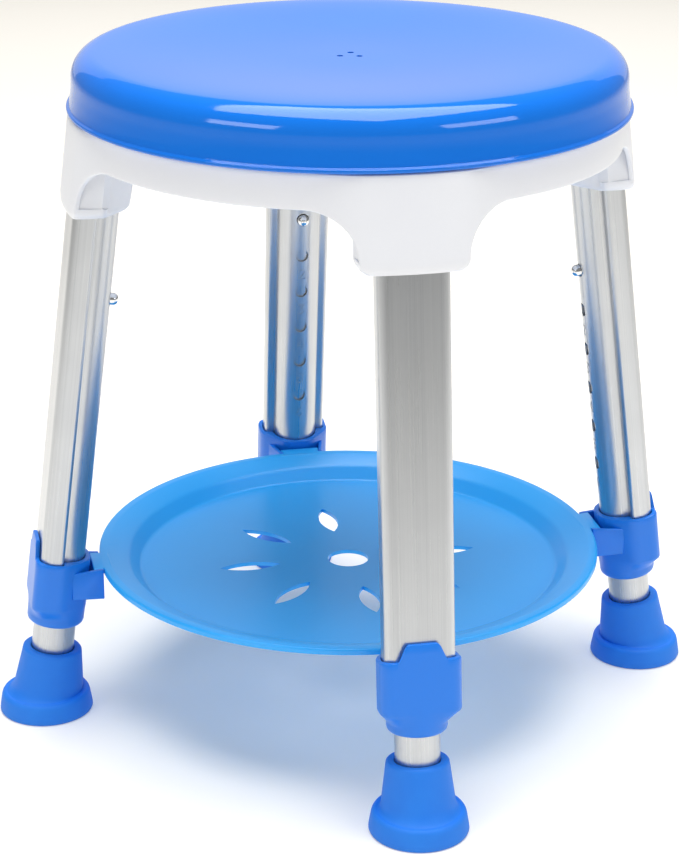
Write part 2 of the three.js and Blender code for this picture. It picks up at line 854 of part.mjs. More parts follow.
for (let k = 0; k < TURNTABLE.screws; k += 1) {
  const ring = new THREE.Group();
  ring.rotation.z = THREE.MathUtils.degToRad(SCREW_ANGLE) + (2 * Math.PI * k) / TURNTABLE.screws;
  const { ballHeight, raceGap, lower, upper } = TURNTABLE;
  const { head, headHeight, shank, baseEnd, seatEnd } = SCREW;
  const low = ballHeight - raceGap + GAP;
  const high = ballHeight + raceGap - GAP;
  const down = screw(head, shank, low, low + headHeight, baseEnd);
  const up = screw(head, shank, high - headHeight, high, seatEnd);
  piece(`lower_race_screw_${k + 1}`, down, FINISH.steel, ring).position.x = lower.screwCircle;
  piece(`upper_race_screw_${k + 1}`, up, FINISH.steel, ring).position.x = upper.screwCircle;
  stool.add(ring);
}

for (const [name, azimuth] of Object.entries(LEG_AZIMUTHS)) {
  const spoke = new THREE.Group();
  spoke.rotation.z = THREE.MathUtils.degToRad(azimuth);
  const leg = new THREE.Group();
  leg.position.x = FOOT_CIRCLE;
  leg.rotation.y = -SPLAY;
  spoke.add(leg);
  stool.add(spoke);
  piece(`outer_tube_${name}`, outerTube(), FINISH.aluminium, leg);
  piece(`end_plug_${name}`, endPlug(), FINISH.nylon, leg);
  piece(`leg_screw_${name}`, legScrew(), FINISH.steel, leg);
  piece(`collar_${name}`, collar(), FINISH.bluePlastic, leg);
  piece(`inner_tube_${name}`, innerTube(), FINISH.aluminium, leg);
  piece(`v_spring_${name}`, vSpring(), FINISH.springSteel, leg);
  piece(`snap_button_${name}`, snapButton(), FINISH.chrome, leg);
  piece(`foot_${name}`, foot(), FINISH.footRubber, leg);
  piece(`foot_washer_${name}`, footWasher(), FINISH.steel, leg);
}

export default stool;
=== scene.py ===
"""Looks for a swivel shower stool with telescopic legs and a hooked-in tray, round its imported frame."""

import logging
import math
from collections.abc import Iterable, Sequence
from dataclasses import dataclass
from enum import Enum
from typing import Any

import bmesh
import bpy
from mathutils import Euler, Matrix, Vector


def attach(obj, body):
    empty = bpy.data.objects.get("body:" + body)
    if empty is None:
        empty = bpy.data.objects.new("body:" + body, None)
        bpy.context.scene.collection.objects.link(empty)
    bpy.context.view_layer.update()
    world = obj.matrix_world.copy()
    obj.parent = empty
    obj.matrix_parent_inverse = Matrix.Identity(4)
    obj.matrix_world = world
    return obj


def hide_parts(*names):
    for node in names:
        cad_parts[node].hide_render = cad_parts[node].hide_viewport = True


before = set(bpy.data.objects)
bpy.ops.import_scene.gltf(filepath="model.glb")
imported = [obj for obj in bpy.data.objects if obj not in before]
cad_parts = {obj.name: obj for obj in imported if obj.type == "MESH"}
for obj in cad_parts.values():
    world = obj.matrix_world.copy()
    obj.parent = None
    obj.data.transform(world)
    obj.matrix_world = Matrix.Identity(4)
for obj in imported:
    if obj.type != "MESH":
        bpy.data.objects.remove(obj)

LOG = logging.getLogger("stool")
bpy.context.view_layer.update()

MM = 0.001
FULL_TURN = 2 * math.pi
SPLAY = math.radians(7.28)
FOOT_CIRCLE = 189.0
CLEARANCE = 0.3

Loop = list[Vector]


class Side(Enum):
    """The four legs, by the direction in degrees in which each one leans out."""

    FRONT_RIGHT = -45
    REAR_RIGHT = 45
    REAR_LEFT = 135
    FRONT_LEFT = 225

    @property
    def label(self) -> str:
        """The leg's name as the frame spells it."""
        return self.name.lower()

    @property
    def place(self) -> Matrix:
        """The leg's own frame: x outwards, y across and z up along the tube, in metres."""
        turn = Matrix.Rotation(math.radians(self.value), 4, "Z")
        return turn @ Matrix.Translation((FOOT_CIRCLE * MM, 0, 0)) @ Matrix.Rotation(-SPLAY, 4, "Y")


class Fit(Enum):
    """How a second solid acts on a first."""

    CUT = "DIFFERENCE"
    JOIN = "UNION"


# ---------------------------------------------------------------- outlines


def rounded(corners: Sequence[tuple[float, ...]], step: float = 9.0) -> Loop:
    """Rounds the corners of a closed outline.

    Args:
        corners: (x, y) or (x, y, radius) for each corner, in order.
        step: The turn in degrees between two points of an arc.

    Returns:
        The points of the outline.
    """
    points: Loop = []
    count = len(corners)
    for index, entry in enumerate(corners):
        corner = Vector((entry[0], entry[1]))
        radius = entry[2] if len(entry) > 2 else 0.0
        if radius == 0:
            points.append(corner)
            continue
        back = (Vector(corners[index - 1][:2]) - corner).normalized()
        ahead = (Vector(corners[(index + 1) % count][:2]) - corner).normalized()
        half = math.acos(max(-1.0, min(1.0, back.dot(ahead)))) / 2
        centre = corner + (back + ahead).normalized() * (radius / math.sin(half))
        start = corner + back * (radius / math.tan(half)) - centre
        first = math.atan2(start.y, start.x)
        cross = ahead.x * back.y - ahead.y * back.x
        turn = (math.pi - 2 * half) * (1 if cross > 0 else -1)
        steps = max(1, round(abs(turn) / math.radians(step)))
        for k in range(steps + 1):
            angle = first + turn * k / steps
            points.append(centre + radius * Vector((math.cos(angle), math.sin(angle))))
    return points


def circle(radius: float, count: int, x: float = 0.0, y: float = 0.0) -> Loop:
    """Gives the points of a circle about (x, y)."""
    angles = [FULL_TURN * k / count for k in range(count)]
    return [Vector((x + radius * math.cos(a), y + radius * math.sin(a))) for a in angles]


def reach(outline: Loop, angle: float) -> float:
    """Measures an outline from the origin along one direction.

    Args:
        outline: Points of a closed outline round the origin.
        angle: The direction, in radians.

    Returns:
        The distance to the outline's farthest crossing.
    """
    ray = Vector((math.cos(angle), math.sin(angle)))
    best = 0.0
    for index, end in enumerate(outline):
        start = outline[index - 1]
        side = end - start
        cross = ray.x * side.y - ray.y * side.x
        if abs(cross) < 1e-9:
            continue
        along = (start.x * side.y - start.y * side.x) / cross
        share = (start.x * ray.y - start.y * ray.x) / cross
        if along > best and -1e-6 <= share <= 1 + 1e-6:
            best = along
    return best


def smooth(value: float, low: float, high: float) -> float:
    """Rises smoothly from 0 at low to 1 at high."""
    share = max(0.0, min(1.0, (value - low) / (high - low)))
    return share * share * (3 - 2 * share)


def between(low: float, high: float, share: float) -> float:
    """Gives the value at a share of the way from low to high."""
    return low + (high - low) * share


# ---------------------------------------------------------------- solids


class Solid:
    """A closed mesh in millimetres that can be moved, cut and joined."""

    def __init__(self, points: Iterable[Vector], faces: Iterable[Sequence[int]]) -> None:
        """Builds the mesh and turns its faces outwards.

        Args:
            points: The corners.
            faces: The indices of each face's corners.
        """
        self.mesh = bpy.data.meshes.new("work")
        self.mesh.from_pydata([tuple(p) for p in points], [], [tuple(f) for f in faces])
        work = bmesh.new()
        work.from_mesh(self.mesh)
        bmesh.ops.remove_doubles(work, verts=work.verts, dist=1e-4)
        bmesh.ops.dissolve_degenerate(work, edges=work.edges, dist=1e-4)
        bmesh.ops.recalc_face_normals(work, faces=work.faces)
        work.to_mesh(self.mesh)
        work.free()

    @classmethod
    def of(cls, mesh: bpy.types.Mesh) -> "Solid":
        """Wraps a mesh that is already closed."""
        solid = cls.__new__(cls)
        solid.mesh = mesh
        return solid

    def moved(self, matrix: Matrix) -> "Solid":
        """Gives a copy moved by a matrix."""
        mesh = self.mesh.copy()
        mesh.transform(matrix)
        return Solid.of(mesh)

    def turned(self, degrees: float) -> "Solid":
        """Gives a copy turned about Z."""
        return self.moved(Matrix.Rotation(math.radians(degrees), 4, "Z"))

    def around(self, count: int, first: float = 0.0) -> list["Solid"]:
        """Gives copies turned about Z at equal steps, from a first angle in degrees."""
        return [self.turned(first + 360 * k / count) for k in range(count)]

    def softened(self, width: float, steps: int = 3) -> "Solid":
        """Gives a copy with its sharp edges rounded.

        Args:
            width: How far each rounding reaches, in millimetres.
            steps: The number of faces across a rounding.

        Returns:
            The rounded copy.
        """
        work = bmesh.new()
        work.from_mesh(self.mesh)
        sharp = [e for e in work.edges if e.calc_face_angle(0.0) > math.radians(40)]
        bmesh.ops.bevel(
            work, geom=sharp, offset=width, segments=steps, profile=0.5, affect="EDGES", clamp_overlap=True
        )
        mesh = bpy.data.meshes.new("work")
        work.to_mesh(mesh)
        work.free()
        return Solid.of(mesh)

    def fitted(self, how: Fit, others: Iterable["Solid"]) -> "Solid":
        """Cuts with or joins other solids, one after another.

        Args:
            how: What each of the others does to this one.
            others: The other solids.

        Returns:
            The result.
        """
        holder = bpy.data.objects.new("work", self.mesh)
        bpy.context.scene.collection.objects.link(holder)
        tools = []
        for other in others:
            tool = bpy.data.objects.new("work_tool", other.mesh)
            bpy.context.scene.collection.objects.link(tool)
            step = holder.modifiers.new("fit", "BOOLEAN")
            step.operation = how.value
            step.solver = "MANIFOLD"
            step.object = tool
            tools.append(tool)
        graph = bpy.context.evaluated_depsgraph_get()
        graph.update()
        mesh = bpy.data.meshes.new_from_object(holder.evaluated_get(graph))
        for used in [holder, *tools]:
            bpy.data.objects.remove(used)
        return Solid.of(mesh)

    def cut(self, *tools: "Solid") -> "Solid":
        """Takes the tools away from this solid."""
        return self.fitted(Fit.CUT, tools)

    def joined(self, *others: "Solid") -> "Solid":
        """Makes one solid of this one and others."""
        return self.fitted(Fit.JOIN, others)

    def finished(self, name: str, material: bpy.types.Material, crease: float = 32.0) -> bpy.types.Mesh:
        """Gives the mesh in metres, dressed, and smooth except at its creases.

        Args:
            name: The mesh's name.
            material: The one material all over it.
            crease: The angle in degrees above which an edge stays sharp.

        Returns:
            The mesh.
        """
        mesh = self.mesh.copy()
        mesh.name = name
        mesh.materials.clear()
        mesh.materials.append(material)
        mesh.polygons.foreach_set("material_index", [0] * len(mesh.polygons))
        mesh.transform(Matrix.Scale(MM, 4))
        mesh.shade_smooth()
        mesh.set_sharp_from_angle(angle=math.radians(crease))
        return mesh


def loft(loops: Sequence[Loop], ring: bool = False) -> Solid:
    """Skins loops that have the same number of points.

    Args:
        loops: The loops, in order.
        ring: Whether the last loop joins the first; otherwise each end gets a cap.

    Returns:
        The closed solid.
    """
    count = len(loops[0])
    points = [point for loop in loops for point in loop]
    faces: list[list[int]] = []
    spans = len(loops) if ring else len(loops) - 1
    for level in range(spans):
        low = level * count
        high = (level + 1) % len(loops) * count
        for k in range(count):
            after = (k + 1) % count
            faces.append([low + k, low + after, high + after, high + k])
    if not ring:
        faces.append(list(range(count)))
        faces.append(list(range(len(points) - count, len(points))))
    return Solid(points, faces)


def at_height(outline: Loop, z: float) -> Loop:
    """Lifts a flat outline to a height."""
    return [Vector((p.x, p.y, z)) for p in outline]


def prism(outline: Loop, low: float, high: float) -> Solid:
    """Makes a prism of a flat outline between two heights."""
    return loft([at_height(outline, low), at_height(outline, high)])


def lying_prism(outline: Loop, low: float, high: float) -> Solid:
    """Makes a prism along X of an outline given in Y and Z."""
    return loft([[Vector((x, p.x, p.y)) for p in outline] for x in (low, high)])


def revolve(profile: Loop, count: int) -> Solid:
    """Turns a closed profile of (radius, height) about Z.

    Args:
        profile: The profile's points, in order.
        count: The number of steps in the full turn.

    Returns:
        The solid of revolution.
    """
    loops = []
    for k in range(count):
        angle = FULL_TURN * k / count
        loops.append([Vector((p.x * math.cos(angle), p.x * math.sin(angle), p.y)) for p in profile])
    return loft(loops, ring=True)


def upright_to_leg(solid: Solid) -> Solid:
    """Moves a solid from the upright frame of a leg's direction into the leg's own frame."""
    return solid.moved(Matrix.Rotation(SPLAY, 4, "Y") @ Matrix.Translation((-FOOT_CIRCLE, 0, 0)))


def leg_in_millimetres(side: Side) -> Matrix:
    """Gives a leg's own frame for solids still in millimetres."""
    matrix = side.place.copy()
    matrix.translation /= MM
    return matrix


# ---------------------------------------------------------------- shading


class Look:
    """The node tree of one material."""

    def __init__(self, name: str) -> None:
        """Starts a material that holds one Principled shader."""
        self.material = bpy.data.materials.new(name)
        self.material.use_nodes = True
        self.tree = self.material.node_tree
        self.shader = self.tree.nodes["Principled BSDF"]

    def node(
        self,
        kind: str,
        settings: dict[str, Any] | None = None,
        sockets: dict[str | int, Any] | None = None,
    ) -> bpy.types.Node:
        """Adds a node.

        Args:
            kind: The node's type, without its ShaderNode prefix.
            settings: Properties set first; "stops" fills a colour ramp.
            sockets: Values or links of its inputs, by name or index.

        Returns:
            The node.
        """
        made = self.tree.nodes.new("ShaderNode" + kind)
        for key, value in (settings or {}).items():
            if key == "stops":
                self._fill_ramp(made, value)
            else:
                setattr(made, key, value)
        for key, value in (sockets or {}).items():
            self.feed(made.inputs[key], value)
        return made

    @staticmethod
    def _fill_ramp(made: bpy.types.Node, stops: Sequence[tuple[float, float]]) -> None:
        """Gives a ramp grey stops of (place, brightness)."""
        elements = made.color_ramp.elements
        while len(elements) < len(stops):
            elements.new(0.5)
        for element, (place, level) in zip(elements, stops):
            element.position = place
            element.color = (level, level, level, 1)

    def feed(self, socket: bpy.types.NodeSocket, value: Any) -> None:
        """Links or sets an input."""
        if isinstance(value, Signal):
            value = value.socket
        if isinstance(value, bpy.types.NodeSocket):
            self.tree.links.new(value, socket)
        else:
            socket.default_value = value

    def set(self, **values: Any) -> None:
        """Feeds inputs of the shader, named with underscores for spaces."""
        for key, value in values.items():
            self.feed(self.shader.inputs[key.replace("_", " ").title().replace("Ior", "IOR")], value)

    def place(self, stretch: tuple[float, float, float] = (1, 1, 1)) -> bpy.types.NodeSocket:
        """Gives the piece's own coordinates in metres, stretched along its axes."""
        coordinates = self.node("TexCoord").outputs["Object"]
        if stretch == (1, 1, 1):
            return coordinates
        return self.node("Mapping", {}, {"Vector": coordinates, "Scale": stretch}).outputs["Vector"]

    def noise(self, where: bpy.types.NodeSocket, scale: float, detail: float = 3.0) -> "Signal":
        """Gives a soft random pattern between 0 and 1, scale in cells per metre."""
        sockets = {"Vector": where, "Scale": scale, "Detail": detail}
        return Signal(self, self.node("TexNoise", {}, sockets).outputs["Fac"])

    def ramp(self, value: "Signal", *stops: tuple[float, float]) -> "Signal":
        """Maps a number through grey stops of (place, brightness)."""
        made = self.node("ValToRGB", {"stops": stops}, {"Fac": value})
        return Signal(self, made.outputs["Color"])

    def blend(self, share: "Signal", first: Sequence[float], second: Sequence[float]) -> bpy.types.NodeSocket:
        """Mixes two colours by a share between 0 and 1."""
        sockets = {"Factor": share, 6: (*first, 1), 7: (*second, 1)}
        return self.node("Mix", {"data_type": "RGBA"}, sockets).outputs[2]

    def bump(self, height: "Signal", strength: float, depth: float) -> None:
        """Lays a relief on the shader's normal, depth in metres."""
        sockets = {"Height": height, "Strength": strength, "Distance": depth}
        self.set(normal=self.node("Bump", {}, sockets).outputs["Normal"])


@dataclass(frozen=True)
class Signal:
    """A socket that carries a number, with arithmetic that adds Math nodes."""

    look: Look
    socket: bpy.types.NodeSocket

    def _math(self, operation: str, first: Any, second: Any) -> "Signal":
        """Adds one Math node."""
        made = self.look.node("Math", {"operation": operation}, {0: first, 1: second})
        return Signal(self.look, made.outputs[0])

    def __add__(self, other: Any) -> "Signal":
        """Adds."""
        return self._math("ADD", self, other)

    __radd__ = __add__

    def __sub__(self, other: Any) -> "Signal":
        """Subtracts."""
        return self._math("SUBTRACT", self, other)

    def __rsub__(self, other: Any) -> "Signal":
        """Subtracts from a number."""
        return self._math("SUBTRACT", other, self)

    def __mul__(self, other: Any) -> "Signal":
        """Multiplies."""
        return self._math("MULTIPLY", self, other)

    __rmul__ = __mul__


Colour = tuple[float, float, float]


@dataclass(frozen=True)
class MouldedPlastic:
    """Injection-moulded plastic: faint flow marks, a fine skin texture and hairline scuffs."""

    name: str
    colour: Colour
    shade: Colour
    roughness: float
    skin: float = 0.12
    scuffs: float = 0.08
    coat: float = 0.0

    def material(self) -> bpy.types.Material:
        """Builds the material."""
        look = Look(self.name)
        own = look.place()
        flow = look.noise(own, 11.0, 2.0)
        speck = look.noise(own, 620.0, 2.0)
        scratch = look.noise(look.place((900.0, 34.0, 60.0)), 1.0, 3.0)
        cross = look.noise(look.place((40.0, 760.0, 60.0)), 1.0, 3.0)
        hairline = look.ramp(scratch, (0.62, 0.0), (0.7, 1.0)) + look.ramp(cross, (0.63, 0.0), (0.71, 1.0))
        tone = look.ramp(flow * 0.8 + speck * 0.2, (0.3, 0.0), (0.7, 1.0))
        look.set(
            base_color=look.blend(tone, self.colour, self.shade),
            roughness=self.roughness + (flow - 0.5) * 0.1 + hairline * self.scuffs,
            coat_weight=self.coat,
            coat_roughness=0.06,
            ior=1.5,
        )
        grain = look.noise(own, 1500.0, 2.0)
        look.bump(grain + hairline * 0.3, self.skin, 0.00012)
        return look.material


@dataclass(frozen=True)
class SoftRubber:
    """Moulded rubber: matt, with a dusty bloom and a pebbled skin."""

    name: str
    colour: Colour
    bloom: Colour
    roughness: float = 0.56

    def material(self) -> bpy.types.Material:
        """Builds the material."""
        look = Look(self.name)
        own = look.place()
        cloud = look.noise(own, 46.0, 4.0)
        dust = look.ramp(cloud, (0.42, 0.0), (0.72, 1.0))
        pebble = look.noise(own, 1300.0, 2.0)
        look.set(
            base_color=look.blend(dust, self.colour, self.bloom),
            roughness=self.roughness + dust * 0.12 + (pebble - 0.5) * 0.1,
            ior=1.48,
        )
        look.bump(pebble, 0.22, 0.0002)
        return look.material


@dataclass(frozen=True)
class DrawnMetal:
    """Metal with fine lines along the piece's own Z, from a die or a brush."""

    name: str
    colour: Colour
    shade: Colour
    roughness: float
    lines: float = 0.14

    def material(self) -> bpy.types.Material:
        """Builds the material."""
        look = Look(self.name)
        die = look.noise(look.place((1500.0, 1500.0, 5.0)), 1.0, 3.0)
        broad = look.noise(look.place((220.0, 220.0, 2.0)), 1.0, 2.0)
        cloud = look.noise(look.place(), 30.0, 3.0)
        tone = look.ramp(die * 0.45 + broad * 0.35 + cloud * 0.2, (0.35, 0.0), (0.68, 1.0))
        look.set(
            base_color=look.blend(tone, self.colour, self.shade),
            metallic=1.0,
            roughness=self.roughness + (die - 0.5) * 0.16 + (cloud - 0.5) * 0.08,
        )
        look.bump(die * 0.7 + broad * 0.3, self.lines, 0.00008)
        return look.material


@dataclass(frozen=True)
class Plating:
    """A plated metal: bright, with slight clouding and tiny pits."""

    name: str
    colour: Colour
    shade: Colour
    roughness: float
    pits: float = 0.05

    def material(self) -> bpy.types.Material:
        """Builds the material."""
        look = Look(self.name)
        own = look.place()
        cloud = look.noise(own, 150.0, 4.0)
        pit = look.noise(own, 2400.0, 2.0)
        tone = look.ramp(cloud, (0.35, 0.0), (0.7, 1.0))
        look.set(
            base_color=look.blend(tone, self.colour, self.shade),
            metallic=1.0,
            roughness=self.roughness + tone * 0.08 + (pit - 0.5) * 0.04,
        )
        look.bump(pit, self.pits, 0.00006)
        return look.material


SEAT_GLOSS = MouldedPlastic(
    "glossy_seat_blue", (0.002, 0.158, 0.690), (0.003, 0.170, 0.720), 0.07, 0.03, 0.04
)
SATIN_WHITE = MouldedPlastic("satin_base_white", (0.82, 0.84, 0.89), (0.79, 0.81, 0.87), 0.36, 0.1, 0.05)
# the tray's blue is set brighter than the collars' same plastic: a painted lift that makes up for the seat's
# shadow on the tray
TRAY_BLUE_PAINTED_BRIGHTER = MouldedPlastic("satin_tray_blue", (0.018, 0.395, 0.985), (0.024, 0.412, 0.995), 0.3, 0.1, 0.06)
COLLAR_BLUE = MouldedPlastic(
    "satin_collar_blue", (0.004, 0.185, 0.780), (0.006, 0.198, 0.810), 0.33, 0.1, 0.06
)
FOOT_BLUE = SoftRubber("rubber_foot_blue", (0.006, 0.190, 0.780), (0.012, 0.215, 0.810))
SATIN_ALUMINIUM = DrawnMetal("anodised_aluminium", (0.56, 0.58, 0.61), (0.47, 0.49, 0.52), 0.3)
BRIGHT_CHROME = Plating("button_chrome", (0.82, 0.83, 0.84), (0.76, 0.77, 0.78), 0.08)
ZINC = Plating("zinc_plate", (0.62, 0.64, 0.66), (0.50, 0.53, 0.56), 0.28, 0.1)
SPRING_STEEL = DrawnMetal("tempered_strip", (0.30, 0.31, 0.33), (0.24, 0.25, 0.27), 0.38)
NATURAL_NYLON = MouldedPlastic("natural_nylon", (0.68, 0.66, 0.60), (0.62, 0.60, 0.54), 0.45, 0.15, 0.04)


class Workshop:
    """Places finished pieces on the frame and keeps one material per finish."""

    def __init__(self) -> None:
        """Starts with no materials made."""
        self.materials: dict[str, bpy.types.Material] = {}

    def dressed(self, finish: Any) -> bpy.types.Material:
        """Gives the material of a finish, built once."""
        if finish.name not in self.materials:
            self.materials[finish.name] = finish.material()
        return self.materials[finish.name]

    def place(
        self,
        name: str,
        mesh: bpy.types.Mesh,
        body: str,
        node: str,
        slot: str,
        matrix: Matrix | None = None,
    ) -> bpy.types.Object:
        """Puts a piece on its body in place of its CAD node.

        Args:
            name: The piece's name.
            mesh: Its mesh in metres, already dressed.
            body: The body that it rides on.
            node: The CAD node that it stands for.
            slot: The record's material slot; not used.
            matrix: Where the mesh's own frame is.

        Returns:
            The piece.
        """
        piece = bpy.data.objects.new(name, mesh)
        bpy.context.scene.collection.objects.link(piece)
        piece.matrix_world = matrix or Matrix.Identity(4)
        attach(piece, body)
        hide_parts(node)
        LOG.info("%s: %d faces, on %s, for %s", name, len(mesh.polygons), body, node)
        return piece

    def carry_over(self, finish: Any, *nodes: str) -> None:
        """Dresses CAD nodes that stay as they are."""
        for node in nodes:
            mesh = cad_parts[node].data
            mesh.materials.clear()
            mesh.materials.append(self.dressed(finish))
            LOG.info("%s: carried over in %s", node, finish.name)


# ---------------------------------------------------------------- seat


@dataclass
class Seat:
    """The round, slightly dished seat with a bead round its lower edge, and the pivot under it."""

    shop: Workshop
    top: float = 400.3
    radius: float = 159.2
    lip_radius: float = 162.4
    bottom: float = 367.8
    wall: float = 3.5
    shoulder: float = 14.0
    dish: float = 4.5
    dish_flat: float = 20.0
    dish_radius: float = 138.0
    steps: int = 256
    pocket: float = 9.9
    drains: int = 3
    drain_radius: float = 1.9
    drain_circle: float = 6.4
    ring_radii: tuple[tuple[float, float], ...] = ((43, 47), (62, 73))
    ring_bottom: float = 385.1
    hub_bore: float = 5.3
    hub_radius: float = 17.0
    hub_bottom: float = 379.1
    rib_inner: float = 72.0
    rib_outer: float = 150.0
    rib_bottom: float = 388.0
    rib_half: float = 1.2
    rib_bite: float = 0.6

    def dished(self, drop: float) -> list[tuple[float, float]]:
        """Gives the dished top's profile from the middle out, lowered by a distance."""
        points = [(0.0, self.top - drop - self.dish)]
        for k in range(13):
            share = k / 12
            z = self.top - drop - self.dish * (1 - share * share) ** 1.5
            points.append((between(self.dish_flat, self.dish_radius, share), z))
        return points

    def shell(self) -> Solid:
        """Turns the shell with its rounded shoulder and its bead."""
        under = self.top - self.wall
        inner = self.radius - self.wall
        lip = self.lip_radius
        profile = rounded(
            [
                *self.dished(self.wall),
                (inner, under, self.shoulder - self.wall),
                (inner, self.bottom),
                (lip - 1.2, self.bottom, 0.5),
                (lip, self.bottom + 0.8, 0.6),
                (lip - 0.1, self.bottom + 2.3, 0.8),
                (lip - 1.7, self.bottom + 3.1, 0.7),
                (self.radius + 0.9, self.bottom + 7.0, 9),
                (self.radius, self.bottom + 14.0, 30),
                (self.radius - 0.2, self.top - 0.1, self.shoulder),
                *reversed(self.dished(0.0)),
            ]
        )
        return revolve(profile, self.steps)

    def under_parts(self) -> list[Solid]:
        """Gives the hub, the ring walls and the ribs under the shell."""
        top = self.top - self.wall - self.dish / 2
        low, bore, hub = self.hub_bottom, self.hub_bore, self.hub_radius
        parts = [revolve(rounded([(bore, low), (hub, low, 0.8), (hub, top), (bore, top)]), 64)]
        low = self.ring_bottom
        for inner, outer in self.ring_radii:
            parts.append(revolve(rounded([(inner, low), (outer, low), (outer, top), (inner, top)]), 96))
        near, far, low = self.rib_inner, self.rib_outer, self.rib_bottom
        ceiling = [Vector((r, z)) for r, z in self.dished(self.wall - self.rib_bite) if r > near]
        high = self.top - self.wall + self.rib_bite
        outline = [Vector((near, low)), Vector((far, low)), Vector((far, high))]
        upright = Matrix.Rotation(math.pi / 2, 4, "X")
        rib = prism(outline + ceiling[::-1], -self.rib_half, self.rib_half).moved(upright)
        return parts + rib.around(8)

    def build(self) -> None:
        """Makes the seat and dresses the turntable."""
        solid = self.shell().joined(*self.under_parts())
        drain = prism(circle(self.drain_radius, 24, self.drain_circle), 391.0, self.top)
        solid = solid.cut(prism(circle(self.pocket + 0.4, 6), 384.2, 391.4), *drain.around(self.drains))
        mesh = solid.finished("seat_shell_fine", self.shop.dressed(SEAT_GLOSS), 28)
        self.shop.place("seat_shell_fine", mesh, "seat", "seat_shell", "seat_plastic")
        screws = [f"{race}_race_screw_{k}" for race in ("upper", "lower") for k in (1, 2, 3)]
        races = ["turntable_lower_race", "turntable_upper_race"]
        self.shop.carry_over(ZINC, *races, *screws, "pivot_bolt", "pivot_washer", "pivot_nut")
        self.shop.carry_over(NATURAL_NYLON, "ball_cage")
        self.shop.carry_over(BRIGHT_CHROME, *[f"bearing_ball_{k}" for k in range(1, 9)])


# ---------------------------------------------------------------- base


@dataclass
class Column:
    """One station along the base's lower edge."""

    across: float
    height: float
    normal: Vector
    in_socket: bool
    corner: float = 0.0


